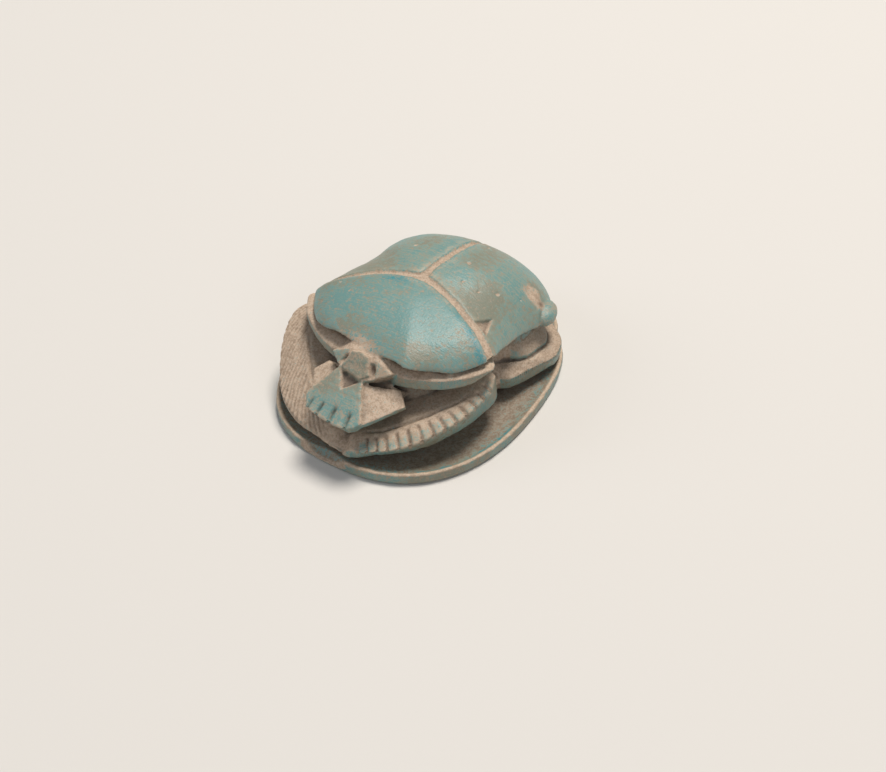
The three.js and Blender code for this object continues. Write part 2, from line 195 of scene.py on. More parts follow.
def bodyAndLegs():  # ten rings of [share of the base's reach, height], both functions of the direction
    angles = roundAngles(360)
    reach = baseReach(angles)
    low, lowZ = legs["lowReach"](angles), legs["lowHeight"](angles)
    top, topZ = legs["topReach"](angles), legs["topHeight"](angles)
    line, lineZ = legs["lineReach"](angles), legs["lineHeight"](angles)
    inner, innerZ = legs["innerReach"](angles), legs["innerHeight"](angles)
    ring = lambda share, z: polar(angles, share * reach, z)
    rings = [
        ring(0.62, 0.2), ring(0.62, 0.7), ring(low - 0.11, lowZ - 0.25), ring(low, lowZ), ring(top, topZ),
        ring((top + line) / 2, (topZ + lineZ) / 2 + 0.05), ring(line, lineZ), ring(inner, innerZ),
        ring(inner - 0.04, innerZ + 0.9), ring(inner - 0.2, 5 + 0 * angles),
    ]
    return closedShell(np.array(rings), [0, 0, 0.2], [0, 0, 5])


back = {
    "centreY": -0.3, "top": 7.76, "valley": 0.16, "swell": 0.4, "swellAt": -131, "edgeThickness": 0.12,
    "reach": through(
        [-180, 9.14], [-154, 8.9], [-141, 8.3], [-131, 7.5], [-115, 6.4], [-104, 6.1], [-90, 6.1],
        [-78, 6.3], [-70.5, 6.57], [-63, 6.48], [-54, 6.43], [-45, 6.35], [-34, 6], [-27, 5.7],
        [-10, 5.5], [0, 5.6], [10, 5.75], [20, 6.05], [27, 6.45], [39, 6.42], [47, 6.59], [54, 6.7],
        [63, 6.75], [70.5, 6.84], [78, 6.5], [90, 6.15], [104, 6.28], [115, 6.84], [123, 7.6], [131, 8.2],
        [141, 8.75], [154, 9], [180, 9.14]),
    "edge": mirrored(through(
        [0, 6.3], [12, 6.35], [20, 6.4], [27, 6.27], [39, 5.95], [54, 5.75], [63, 5.75], [70.5, 5.8],
        [78, 5.5], [90, 5], [104, 4.6], [115, 4.25], [123, 3.9], [140, 3.7], [180, 3.7])),
    "fullness": mirrored(through([0, 2.4], [45, 2.1], [75, 2], [90, 2], [120, 2.2], [150, 2.8], [180, 3.4])),
    "fall": mirrored(through([0, 0.8], [45, 0.6], [90, 0.6], [120, 0.65], [150, 0.8], [180, 1.03])),
    "crossY": mirrored(through(
        [0, 0.12], [1, 0], [1.8, -0.22], [2.7, -0.5], [3.5, -0.85], [4.4, -1.25], [5.1, -1.55],
        [5.7, -1.88], [6.2, -2.15], [6.9, -2.5])),
    "crossHalf": mirrored(through([0, 0.24], [2, 0.2], [4, 0.22], [6, 0.27])),
    "seamX": through([0, 0.02], [1.5, 0.1], [3, 0.27], [4.5, 0.32], [6, 0.26], [9, 0.1]),
    "seamHalf": 0.2, "bandDepth": 0.17,
    "notch": [[4.46, -0.95], [5.5, -1.25], [4.95, 0.32]], "notchDepth": 0.17,
    "pits": [[-3.32, -2.73], [-4.47, -2.07], [1.65, 2.98], [3.38, 1.29], [4.21, 2.12], [5.21, 3.26],
             [2.27, 1.29], [-2.2, 2.9], [-4.6, 3.6], [1.2, 6.1], [-1.4, 5.2], [-5.1, 1.2]],
    "pitRadius": 0.09, "pitDepth": 0.07,
    "wornSpot": [5.45, 4.55], "wornRadius": 0.62, "wornDepth": 0.07,
}


def backHeight(angle, share):  # edge + (top - edge) * (1 - share^fullness)^fall, with a valley and a swelling
    edge = back["edge"](angle)
    share = np.clip(share, 0, 1)
    rise = (1 - share ** back["fullness"](angle)) ** back["fall"](angle)
    uneven = back["swell"] * bump(angle, back["swellAt"], 12) - back["valley"] * bump(np.abs(angle), 75, 9)
    return edge + (back["top"] - edge) * rise + uneven * share ** 2 * (1 - share ** 6)


def backDome():
    angles = roundAngles(360)
    reach, edge = back["reach"](angles), back["edge"](angles)
    under = [polar(angles, reach - 2.4, edge - 0.9, back["centreY"]),
             polar(angles, reach - 0.5, edge - back["edgeThickness"], back["centreY"])]
    shares = np.sin(np.linspace(np.pi / 2, 0.03, 46))
    over = [polar(angles, share * reach, backHeight(angles, share), back["centreY"]) for share in shares]
    return closedShell(np.array(under + over), [0, back["centreY"], 4], [0, back["centreY"], back["top"]])


collar = {
    "reach": through(
        [-180, 5.5], [-90, 5.5], [-80, 6.1], [-75, 6.8], [-71, 7.11], [-67, 7.07], [-59, 6.97],
        [-52, 6.75], [-44.4, 6.55], [-34, 6.3], [-21, 6.05], [-16, 5.98], [-10, 6.15], [10, 6.15],
        [16, 6.05], [21, 6.2], [34, 6.48], [44.4, 6.73], [52, 6.88], [59, 7.02], [67, 7.08], [71, 7.11],
        [75, 6.8], [80, 6.1], [90, 5.5], [180, 5.5]),
    "top": through(
        [-180, 4.4], [-80, 5], [-71, 5.4], [-60, 5.36], [-45, 5.36], [-26, 5.36], [-20, 5.5], [-14, 5.95],
        [-8, 6.12], [0, 6.18], [8, 6.12], [14, 5.98], [20, 5.62], [26, 5.46], [45, 5.45], [60, 5.43],
        [71, 5.4], [80, 5], [180, 4.4]),
    "bottom": mirrored(through([0, 4.8], [22, 4.6], [50, 4.65], [60, 4.75], [71, 5.1], [80, 4.6], [180, 4])),
    "rise": mirrored(through([0, 0.28], [14, 0.3], [26, 0.26], [60, 0.2], [75, 0.12], [180, 0.2])),
}


def collarRing():  # a ledge of [inset, height] rings below the pronotum's edge
    angles = roundAngles(360)
    reach, top, bottom = collar["reach"](angles), collar["top"](angles), collar["bottom"](angles)
    rise = collar["rise"](angles)
    ring = lambda inset, z: polar(angles, reach - inset, z, back["centreY"])
    rings = [
        ring(1.3, bottom - 0.5), ring(0.12, bottom), ring(0, bottom + 0.12), ring(0, top - 0.05),
        ring(0.06, top + 0.02), ring(0.45, top + 0.6 * rise), ring(0.9, top + rise),
        ring(2, top + rise + 0.1),
    ]
    return closedShell(np.array(rings), [0, back["centreY"], 3.8], [0, back["centreY"], 5.6])


head = {
    "crown": [[0.55, -6.4, 6.4], [-0.05, -6.3, 6.5], [-0.65, -6.4, 6.4], [-1.02, -7.02, 5.6],
              [-0.45, -7.42, 5.4], [0.45, -7.42, 5.4], [0.92, -7.05, 5.6]],
    "brow": [[2.15, -6.3, 5.68], [0.9, -6.05, 6.3], [-0.9, -6.05, 6.3], [-2.15, -6.3, 5.68], [-1.2, -7, 5.4],
             [-0.3, -7.42, 5.25], [0.5, -7.4, 5.25], [1.2, -7.05, 5.35]],
    "front": [[0.63, -7.22, 5.29], [-1.2, -7, 5.43], [-2.36, -8.95, 4.3], [-1.95, -9.65, 3.9],
              [-0.78, -9.9, 3.8], [0.2, -9.97, 3.75], [1.1, -9.97, 3.75], [1.56, -9.73, 3.88],
              [1.92, -9.35, 4.08], [1, -7.94, 4.89]],
    "eyePlate": [[0.85, -6.19, 6.3], [1.33, -6.98, 5.48], [2.2, -6.37, 5.75]],
    "cheek": [[0.7, -7.2, 4.98], [1.85, -9.35, 3.85], [3.32, -6.85, 4.1], [2.58, -6.2, 4.6]],
    "neck": [[2.5, -6.1, 4.45], [1, -6.4, 4.9], [-1, -6.4, 4.9], [-2.5, -6.1, 4.45], [-1.5, -8.4, 3.9],
             [1.5, -8.4, 3.9]],
    "hollow": [[0.6, -7.4], [-1.05, -7.12], [-0.38, -8.2]], "hollowDepth": 0.16,
    "notches": [[-1.75, 0.14], [-1, 0.14], [-0.1, 0.26], [0.95, 0.24]],  # across and width
    "notchDepth": 0.15,
}


def block(outline, drop, shrink=1.0, lift=0.0):
    # flat-sided block under an outline; its underside is the outline moved by drop and drawn in by shrink
    outline = np.array(outline, float)
    middle = outline.mean(0)
    under = middle + (outline - middle) * shrink + drop
    return closedShell(np.array([under, outline]), middle + drop, middle + [0, -0.5 * lift, lift])


def onSide(outline, side):
    placed = [[side * x, y, z] for x, y, z in outline]
    return placed if side > 0 else placed[::-1]


def headBlocks():
    blocks = [block(head["crown"], [0, 1.2, -0.9], 1, 0.06), block(head["brow"], [0, 1, -1.2]),
              block(head["front"], [0, 0.5, -0.9], 0.88, 0.05), block(head["neck"], [0, 2.3, -2.6], 0.9)]
    for side in (1, -1):
        blocks.append(block(onSide(head["eyePlate"], side), [0, 1.2, -0.8]))
        blocks.append(block(onSide(head["cheek"], side), [0, 0.3, -0.5], 0.92))
    return blocks


knob = {"centre": [6.05, 4.8, 4.05], "radii": [0.8, 1.15, 0.6], "turn": 0.35}


def cornerKnob():  # ellipsoid, turned about the upright
    angles = roundAngles(60)
    tilts = np.radians(np.linspace(-84, 84, 29))[:, None]
    turn = np.radians(angles)
    flat = np.cos(tilts)
    ball = np.stack(np.broadcast_arrays(flat * np.sin(turn), -flat * np.cos(turn), np.sin(tilts)), -1)
    cosine, sine = np.cos(knob["turn"]), np.sin(knob["turn"])
    spin = np.array([[cosine, -sine, 0], [sine, cosine, 0], [0, 0, 1]])
    place = lambda point: (np.asarray(point) * knob["radii"]) @ spin.T + knob["centre"]
    return closedShell(place(ball), place([0, 0, -1]), place([0, 0, 1]))


bore = {"radius": 0.8, "height": 2.6, "reach": 12}


def boreCutter():  # cylinder along Y
    turn = np.radians(roundAngles(64))
    across, high = bore["radius"] * np.cos(turn), bore["height"] - bore["radius"] * np.sin(turn)
    stations = np.linspace(-bore["reach"], bore["reach"], 13)
    rings = np.array([np.stack([across, 0 * turn + y, high], -1) for y in stations])
    return closedShell(rings, [0, -bore["reach"], bore["height"]], [0, bore["reach"], bore["height"]])


def together(shells):  # several closed shells as one set of points and faces
    starts = np.cumsum([0] + [len(points) for points, faces in shells[:-1]])
    return (np.vstack([points for points, faces in shells]),
            np.vstack([faces + start for (points, faces), start in zip(shells, starts)]))


carving = {
    "voxel": 0.08, "smoothing": 2, "triangles": 190000,
    "swell": {"depth": 0.045, "size": 2.4}, "chisel": {"depth": 0.012, "size": 0.55},
    "grain": {"depth": 0.014, "size": 0.2},
}


def makeObject(name, points, faces):
    mesh = bpy.data.meshes.new(name)
    mesh.vertices.add(len(points))
    mesh.vertices.foreach_set("co", np.ascontiguousarray(points, np.float32).ravel())
    mesh.loops.add(faces.size)
    mesh.loops.foreach_set("vertex_index", np.ascontiguousarray(faces, np.int32).ravel())
    mesh.polygons.add(len(faces))
    mesh.polygons.foreach_set("loop_start", np.arange(len(faces), dtype=np.int32) * faces.shape[1])
    mesh.update(calc_edges=True)
    thing = bpy.data.objects.new(name, mesh)
    bpy.context.scene.collection.objects.link(thing)
    return thing


def arraysOf(thing):  # points and triangles of an object with its modifiers
    shown = thing.evaluated_get(bpy.context.evaluated_depsgraph_get())
    mesh = shown.to_mesh()
    mesh.calc_loop_triangles()
    points = np.empty(len(mesh.vertices) * 3, np.float32)
    mesh.vertices.foreach_get("co", points)
    faces = np.empty(len(mesh.loop_triangles) * 3, np.int32)
    mesh.loop_triangles.foreach_get("vertices", faces)
    shown.to_mesh_clear()
    return points.reshape(-1, 3).astype(float), faces.reshape(-1, 3)


def normalsOf(points, faces):  # sum of the face normals round each point
    a, b, c = (points[faces[:, k]] for k in range(3))
    across = np.cross(b - a, c - a)
    sums = [np.bincount(faces.ravel(), np.repeat(across[:, k], 3), len(points)) for k in range(3)]
    total = np.stack(sums, -1)
    return total / np.maximum(np.linalg.norm(total, axis=1, keepdims=True), 1e-12)


def aroundMean(values, faces):  # mean of the neighbours of each point
    start, end = faces[:, [0, 1, 2, 1, 2, 0]].ravel(), faces[:, [1, 2, 0, 0, 1, 2]].ravel()
    count = np.bincount(start, minlength=len(values))
    values = values.reshape(len(values), -1)
    total = np.stack([np.bincount(start, values[end, k], len(values)) for k in range(values.shape[1])], -1)
    return (total / np.maximum(count, 1)[:, None]).squeeze()


def placesOf(points):  # where each point lies on the beetle
    x, y, z = points.T
    spot = {"x": x, "y": y, "z": z, "points": points}
    spot["angle"] = np.degrees(np.arctan2(x, -y))
    spot["share"] = np.hypot(x, y) / baseReach(spot["angle"])
    spot["backAngle"] = np.degrees(np.arctan2(x, back["centreY"] - y))
    spot["backShare"] = np.hypot(x, y - back["centreY"]) / back["reach"](spot["backAngle"])
    above = np.abs(z - backHeight(spot["backAngle"], spot["backShare"]))
    spot["onBack"] = ramp(0.42, 0.25, above) * ramp(1.01, 0.99, spot["backShare"])
    return spot


def headMask(spot):  # 1 on the head, off the back's own surface
    away = ramp(0.25, 0.5, backHeight(spot["backAngle"], spot["backShare"]) - spot["z"])
    near = (spot["y"] < -6.15) * (spot["z"] > 3.0) * (np.abs(spot["x"]) < 3.5)
    return near * np.where(spot["backShare"] > 1.0, 1, away)


def legFrame(spot):
    # how far a point lies across the legs' upper face (0 at the incised line, 1 at the outer edge),
    # its distance from the line in mm and whether it is on that face
    angle, share = spot["angle"], spot["share"]
    line, top = legs["lineReach"](angle), legs["topReach"](angle)
    across = (share - line) / np.maximum(top - line, 0.02)
    lineZ, topZ = legs["lineHeight"](angle), legs["topHeight"](angle)
    inner, innerZ = legs["innerReach"](angle), legs["innerHeight"](angle)
    inward = np.clip((line - share) / np.maximum(line - inner, 0.02), 0, 1)
    outward = lineZ + (topZ - lineZ) * np.clip(across, 0, 1)
    level = np.where(across > 0, outward, lineZ + (innerZ - lineZ) * inward)
    onFace = ramp(0.4, 0.22, np.abs(spot["z"] - level)) * ramp(1.12, 1.04, across) * (inward < 0.99)
    fromLine = (share - line) * baseReach(angle)
    return across, fromLine, onFace


def insideOf(spot, outline):  # signed distance in mm to a convex outline seen from above, positive inside
    corner = np.array(outline, float)
    inside = np.full(len(spot["x"]), 9.0)
    for start, end in zip(corner, np.roll(corner, -1, axis=0)):
        along = (end - start) / np.linalg.norm(end - start)
        inside = np.minimum(inside, (spot["y"] - start[1]) * along[0] - (spot["x"] - start[0]) * along[1])
    return inside


def outlineMask(spot, outline):  # 1 inside a convex outline seen from above, listed anticlockwise
    return ramp(-0.04, 0.04, insideOf(spot, [corner[:2] for corner in outline]))


def bandMask(spot):  # 1 in the incised bands of the back
    x, y = spot["x"], spot["y"]
    slope = (back["crossY"](np.abs(x) + 0.1) - back["crossY"](np.abs(x) - 0.1)) / 0.2
    cross = np.abs(y - back["crossY"](x)) / np.sqrt(1 + slope ** 2) - back["crossHalf"](x)
    seam = np.where(y > 0, np.abs(x - back["seamX"](y)), 9) - back["seamHalf"]
    flare = 0.14 * np.exp(-(x / 0.45) ** 2 - ((y - 0.4) / 0.3) ** 2)
    edge = np.minimum(cross, seam) - flare + 0.035 * cloud(spot["points"], 0.45, 3)
    return ramp(0.06, -0.05, edge) * spot["onBack"]


def spotMask(spot, places, radius):  # soft round spots on the back, seen from above
    distance = np.full(len(spot["x"]), 9.0)
    for i, (x, y) in enumerate(places):
        size = radius * (0.7 + 0.6 * ((i * 7) % 5) / 4)
        distance = np.minimum(distance, np.hypot(spot["x"] - x, spot["y"] - y) / size)
    return ramp(1.25, 0.6, distance) * spot["onBack"]


def legCutMask(spot, across, onFace):  # leaning cuts across the outer edge of one front leg
    angle = spot["angle"]
    number = legs["cutAt"](angle - legs["cutLean"] * (across - 1))
    spacing = 0.66
    offset = np.abs(number - np.round(number)) * spacing
    width = legs["cutWidth"] * (0.42 + 0.12 * cloud(spot["points"], 0.7, 11))
    stretch = ramp(7, 10, angle) * ramp(76, 71, angle) * ramp(0.2, 0.36, across)
    return ramp(width + 0.05, width - 0.05, offset) * stretch * onFace


def strokes(spot, across, onFace):  # fine leaning strokes on the other front leg and on the hind legs
    angle = spot["angle"]
    arc = np.radians(angle) * baseReach(angle) * spot["share"]
    front = (angle < 0) * (angle > -80)
    lean = np.where(front, -0.9, np.where(angle > 0, 0.25, -0.25))
    spacing = np.where(front, legs["strokeSpacing"], legs["hindSpacing"])
    phase = (arc + lean * across * 1.4 + 0.09 * cloud(spot["points"], 0.9, 21)) / spacing
    wave = (0.5 + 0.5 * np.cos(2 * np.pi * phase)) ** 2 * (0.75 + 0.35 * cloud(spot["points"], 0.5, 22))
    onFront = ramp(-6, -12, angle) * ramp(-80, -74, angle)
    onHind = ramp(92, 97, np.abs(angle)) * ramp(150, 135, np.abs(angle))
    where = np.where(front, onFront, onHind)
    return wave * where * ramp(0.08, 0.2, across) * onFace


def relief(points, normals):  # how far each point moves along its normal, in mm
    spot = placesOf(points)
    across, fromLine, onFace = legFrame(spot)
    move = -back["bandDepth"] * bandMask(spot)
    move -= back["notchDepth"] * ramp(-0.03, 0.1, insideOf(spot, back["notch"])) * spot["onBack"]
    move -= back["pitDepth"] * spotMask(spot, back["pits"], back["pitRadius"])
    wornX, wornY = back["wornSpot"]
    worn = ramp(1.2, 0.5, np.hypot(spot["x"] - wornX, spot["y"] - wornY) / back["wornRadius"])
    move -= back["wornDepth"] * worn * spot["onBack"] * (1 + 0.8 * cloud(points, 0.25, 31))
    line = ramp(legs["lineWidth"], 0.02, np.abs(fromLine)) * legs["lineFade"](spot["angle"]) * onFace
    move -= legs["lineDepth"] * line
    move -= legs["cutDepth"] * legCutMask(spot, across, onFace)
    move -= legs["strokeDepth"] * strokes(spot, across, onFace)
    onHead = headMask(spot)
    hollow = ramp(-0.02, 0.15, insideOf(spot, head["hollow"])) * onHead * (spot["z"] > 4.6)
    move -= head["hollowDepth"] * hollow
    onFront = (spot["y"] < -8.7) * (spot["z"] > 3.2)
    for x, width in head["notches"]:
        reach = np.abs(spot["x"] - x * (1 + 0.09 * (-9.4 - spot["y"])))
        cut = ramp(width / 2 + 0.05, width / 2 - 0.05, reach) * ramp(-8.95, -9.3, spot["y"])
        move -= head["notchDepth"] * cut * onFront
    onTop = ramp(0.2, 0.7, normals[:, 2])
    # uneven hand carving: broad swells, chisel marks and a fine grain, softer on the polished back
    swell, chisel, grain = carving["swell"], carving["chisel"], carving["grain"]
    offBase = ramp(0.05, 0.3, spot["z"])
    move += swell["depth"] * cloud(points, swell["size"], 1) * ramp(0.3, 1.5, spot["z"])
    move += chisel["depth"] * (2 - spot["onBack"]) * cloud(points, chisel["size"], 2) * offBase
    move += grain["depth"] * (1 - 0.75 * spot["onBack"]) * cloud(points, grain["size"], 4) * offBase
    return move * (0.3 + 0.7 * np.maximum(onTop, ramp(0.1, 0.4, spot["z"])))


shells = [basePlate(), bodyAndLegs(), backDome(), collarRing(), cornerKnob(), *headBlocks()]
rough = makeObject("roughShells", *together(shells))
drill = makeObject("drill", *boreCutter())
union = rough.modifiers.new("union", "REMESH")
union.mode = "VOXEL"
union.voxel_size = carving["voxel"]
drilled = rough.modifiers.new("drilled", "BOOLEAN")
drilled.operation = "DIFFERENCE"
drilled.solver = "MANIFOLD"
drilled.object = drill
points, faces = arraysOf(rough)
print("united shells:", len(points), "points")

for _ in range(carving["smoothing"]):
    points = points + 0.5 * (aroundMean(points, faces) - points)
normals = normalsOf(points, faces)
points = points + normals * relief(points, normals)[:, None]
points[:, 2] = np.maximum(points[:, 2], 0)
for old in (rough, drill):
    bpy.data.objects.remove(old)
carved = makeObject("carvedFine", points, faces)
thinned = carved.modifiers.new("thinned", "DECIMATE")
thinned.ratio = min(1, carving["triangles"] / len(faces))
points, faces = arraysOf(carved)
bpy.data.objects.remove(carved)
print("carved surface:", len(points), "points,", len(faces), "triangles")


# Where glaze, bare stone, dirt and painted shade lie: the share of glaze left on each part, and the amounts
# of the rest
glazeLeft = {
    "back": 0.82, "bareFront": 0.6, "elsewhere": 0.12, "legTop": 0.62, "collarSide": 0.66,
    "front": 0.72, "crown": 0.6, "rightEye": 0.72, "leftEye": 0.45, "knob": 0.66,
    "rimSide": 0.72, "rimLine": 0.9, "dish": 0.2, "dishEdge": 0.25,
    "crestLoss": 0.3, "wornLoss": 0.8, "pronotumBlue": 0.22,
    # the first number below sets the strength of the dark brown of dirt in strokes and painted shade in
    # hollows
    "grimeAndShade": 0.8, "crest": 0.3, "scored": 0.5, "hollowPasses": 36,
}


def surfaceMasks(points, faces):
    # glaze is the share of glaze left, tone sets grey-green against olive, blueness and bright say how
    # blue it is, stainAndShade is brown stone with painted shade under overhangs and on downward faces,
    # grimeAndShade the dirt in strokes with painted shade in hollows, crest the light worn edges
    normals = normalsOf(points, faces)
    spot = placesOf(points)
    across, fromLine, onFace = legFrame(spot)
    x, y, z = spot["x"], spot["y"], spot["z"]
    # painted shade: concave spots found from the curvature are darkened later
    curved = ((aroundMean(points, faces) - points) * normals).sum(1)
    for _ in range(3):
        curved = aroundMean(curved, faces)
    hollow = ramp(0.0015, 0.012, curved)
    crest = ramp(-0.0025, -0.014, curved)
    # painted shade: wide hollows, found against a widely smoothed copy of the surface, are darkened like
    # ambient occlusion
    wide = points
    for _ in range(glazeLeft["hollowPasses"]):
        wide = aroundMean(wide, faces)
    deep = ramp(0.02, 0.13, ((wide - points) * normals).sum(1))
    band = bandMask(spot)
    notch = ramp(-0.03, 0.1, insideOf(spot, back["notch"])) * spot["onBack"]
    pit = spotMask(spot, back["pits"], back["pitRadius"] * 1.1)
    wornX, wornY = back["wornSpot"]
    fromWorn = np.hypot(x - wornX, y - wornY) / back["wornRadius"]
    wornSpot = ramp(1.3, 0.6, fromWorn + 0.35 * cloud(points, 0.4, 33)) * spot["onBack"]
    knobPart = ramp(1.25, 1.1, np.linalg.norm((points - knob["centre"]) / knob["radii"], axis=1))
    cuts = legCutMask(spot, across, onFace)
    pronotum = spot["onBack"] * ramp(0.05, -0.1, y - back["crossY"](x))
    onRim = ramp(1.15, 0.95, z)

    bareFront = bump(spot["backAngle"], -4, 12) * ramp(0.86, 0.97, spot["backShare"])
    glaze = (glazeLeft["back"] - glazeLeft["bareFront"] * bareFront) * spot["onBack"]
    # legs: bare except their side faces and the raised parts between the cuts
    rightward = ramp(-2, 6, spot["angle"])
    sideFace = ramp(0.55, 0.2, normals[:, 2]) * ramp(0.8, 1.1, z) * (spot["share"] > 0.7)
    legTop = onFace * ramp(0.3, 0.65, across)
    leftLeg = ramp(6, 10, spot["angle"]) * ramp(80, 70, spot["angle"])
    offBack = np.maximum(glazeLeft["elsewhere"], glazeLeft["legTop"] * legTop * leftLeg)
    offBack = np.maximum(offBack, (0.3 + 0.4 * rightward) * sideFace)
    # collar: bare on top, glazed on its side
    fromCollar = np.hypot(x, y - back["centreY"]) - collar["reach"](spot["backAngle"])
    collarSide = bump(fromCollar, 0, 0.12) * (z > 4.3)
    collarSide = collarSide * ramp(0.5, 0.25, normals[:, 2]) * ramp(76, 70, np.abs(spot["backAngle"]))
    offBack = np.maximum(offBack, glazeLeft["collarSide"] * collarSide)
    # head: plates and front glazed, strips between them, hollow and cheeks bare
    onHead = headMask(spot)
    mirroredX = {**spot, "x": np.abs(x)}
    frontPart = outlineMask(spot, head["front"]) * (z > 3.4)
    crownPart = outlineMask(spot, head["crown"]) * (z > 5.35)
    eyePart = outlineMask(mirroredX, head["eyePlate"]) * (z > 5.4)
    hollowPart = ramp(-0.02, 0.1, insideOf(spot, head["hollow"])) * (z > 4.6)
    plates = np.maximum(glazeLeft["front"] * frontPart * (1 - hollowPart), glazeLeft["crown"] * crownPart)
    plates = np.maximum(plates, eyePart * np.where(x < 0, glazeLeft["rightEye"], glazeLeft["leftEye"]))
    offBack = np.maximum(offBack, plates * onHead)
    offBack = np.maximum(offBack, glazeLeft["knob"] * knobPart)
    # rim and dish
    outerSide = ramp(0.5, 0.2, normals[:, 2]) * onRim * (spot["share"] > 0.96)
    inside = (1 - spot["share"]) * baseReach(spot["angle"])
    dish = onRim * ramp(0.3, 0.6, normals[:, 2]) * ramp(0.1, 0.35, inside)
    offBack = np.maximum(offBack, glazeLeft["rimSide"] * outerSide)
    offBack = np.maximum(offBack, (glazeLeft["dish"] + glazeLeft["dishEdge"] * bump(inside, 0.5, 0.4)) * dish)
    glaze = np.where(spot["onBack"] > 0.5, glaze, offBack)
    glaze = glaze * (1 - band) * (1 - notch) * (1 - pit) * (1 - glazeLeft["wornLoss"] * wornSpot) * (1 - cuts)
    glaze = glaze - glazeLeft["crestLoss"] * crest

    rearEdge = bump(y - back["crossY"](x), -0.65, 0.5) * pronotum
    bright = rearEdge * (0.15 + 0.7 * ramp(2, 6, x) + 0.6 * bump(x, -1.2, 1))
    inRim = bump(inside, 0.36, 0.13) * onRim * ramp(20, 35, spot["angle"]) * ramp(95, 70, spot["angle"])
    bright = bright + inRim * (0.6 + 0.4 * cloud(points, 1.2, 43))
    glaze = np.maximum(glaze, glazeLeft["rimLine"] * inRim)
    tone = 0.5 + 0.5 * cloud(points, 1.7, 41)
    tone = np.where(frontPart * onHead > 0.5, 0.5 * tone + 0.35 * ramp(-8.2, -9.2, y), tone)
    tone = tone * (1 - 0.6 * crownPart * onHead)
    # painted shade: downward-facing surfaces are marked here and get the brown stain colours
    under = ramp(0.1, -0.3, normals[:, 2])
    # the dish gets a brown stain, and the leg face inside the incised line gets half of it
    stainAndShade = np.maximum(0.85 * dish, 0.5 * ramp(0.1, -0.05, across) * onFace)
    # painted shade: the body's wall below the back's overhang gets the brown stain colours
    wall = (1 - onFace) * (spot["share"] < 0.8) * (spot["onBack"] < 0.5) * ramp(4.6, 4.2, z)
    stainAndShade = np.maximum(stainAndShade, wall * (1 - onHead))
    stainAndShade = np.maximum(stainAndShade, 0.8 * under)
    scored = glazeLeft["scored"] * strokes(spot, across, onFace)
    # dirt and painted shade: small and wide hollows get painted shade, the strokes get dirt
    grimeAndShade = np.maximum(hollow * (1 - 0.85 * band), 0.9 * deep * (1 - band))
    grimeAndShade = np.maximum(grimeAndShade, scored)
    masks = {"glaze": glaze, "bright": bright, "tone": tone, "stainAndShade": stainAndShade, "grimeAndShade": grimeAndShade, "crest": crest}
    masks = {name: np.clip(values, 0, 1) for name, values in masks.items()}
    masks["grimeAndShade"] = glazeLeft["grimeAndShade"] * masks["grimeAndShade"]
    masks["crest"] = glazeLeft["crest"] * masks["crest"]
    masks["blueness"] = masks["tone"] + glazeLeft["pronotumBlue"] * pronotum
    return masks


masks = surfaceMasks(points, faces)
amulet = makeObject("carvedScarab", points * mm, faces)
for name, values in masks.items():
    layer = amulet.data.attributes.new(name, "FLOAT", "POINT")
    layer.data.foreach_set("value", values.astype(np.float32))
amulet.data.polygons.foreach_set("use_smooth", np.ones(len(faces), bool))
print("masks written")


def linearOf(hexColour):  # sRGB hex to linear, with an alpha of 1
    srgb = np.array([int(hexColour[k:k + 2], 16) for k in (1, 3, 5)]) / 255
    return [*np.where(srgb <= 0.04045, srgb / 12.92, ((srgb + 0.055) / 1.055) ** 2.4).tolist(), 1.0]


def addNode(tree, kind, settings=None, links=None):
    # settings are properties, or input sockets by name or number; links feed input sockets from other nodes
    node = tree.nodes.new(kind)
    for key, value in (settings or {}).items():
        if isinstance(key, str) and hasattr(node, key):
            setattr(node, key, value)
        else:
            node.inputs[key].default_value = value
    for key, source in (links or {}).items():
        tree.links.new(source, node.inputs[key])
    return node


glazeLook = {
    # the brown stain colours also paint shade under overhangs and on downward faces
    "bareStone": "#c6b09a", "bareStoneDark": "#a8937e", "stainLight": "#9b8c7b", "stainDark": "#827362",
    "greyGreen": "#86968a", "olive": "#7f8272", "turquoise": "#68908d", "brightBlue": "#38868f",
    # the dark brown below marks dirt in strokes and paints shade in hollows
    "grimeBrown": "#2c231b", "crestCream": "#d6c3a6",
    "grainSize": 0.13, "mottleSize": 0.38,  # mm
    "scratchSize": [1.6, 0.07, 0.5], "scratchTurn": 0.5,  # mm along, across and up, and a turn in radians
    "shares": {  # a mask, the weights of the noises added to it, and where the smooth step starts and ends
        "covered": ["glaze", {"mottle": 0.9, "grain": 1.7}, 0.22, 0.78],
        "speckled": ["mottle", {"grain": 1.2}, 0.3, 0.65],
        # share of brown stain, which also paints shade under overhangs and on downward faces
        "stainedAndShaded": ["stainAndShade", {"mottle": 0.6}, 0.2, 0.8],
        "greyed": ["tone", {"mottle": 1.4, "grain": 0.8}, 0.1, 0.6],
        "blued": ["blueness", {"scratch": 1.4, "mottle": 1.2, "grain": 1.2}, 0.35, 0.95],
        "brightened": ["bright", {"mottle": 0.9, "scratch": 0.6, "grain": 0.5}, 0.25, 0.95],
    },
    "layers": [  # a new colour, the one under it, the one over it, and the share of the one over
        ["cleanStone", "bareStoneDark", "bareStone", "speckled"],
        # brown stone for stains and for painted shade under overhangs and on downward faces
        ["stainedAndShadedStone", "stainDark", "stainLight", "speckled"],
        ["stone", "cleanStone", "stainedAndShadedStone", "stainedAndShaded"],
        ["dull", "olive", "greyGreen", "greyed"],
        ["weathered", "dull", "turquoise", "blued"],
        ["glazed", "weathered", "brightBlue", "brightened"],
        ["surface", "stone", "glazed", "covered"],
        ["rubbed", "surface", "crestCream", "crest"],
        # last layer: dark brown of dirt in strokes and painted shade in hollows
        ["finished", "rubbed", "grimeBrown", "grimeAndShade"],
    ],
    "bumpWeights": {"grain": 0.8, "scratch": 0.4}, "bumpStrength": 0.5, "bumpDepth": 0.05,
    "satin": 0.42, "matt": 0.72,  # roughness of the glaze and of bare stone
}


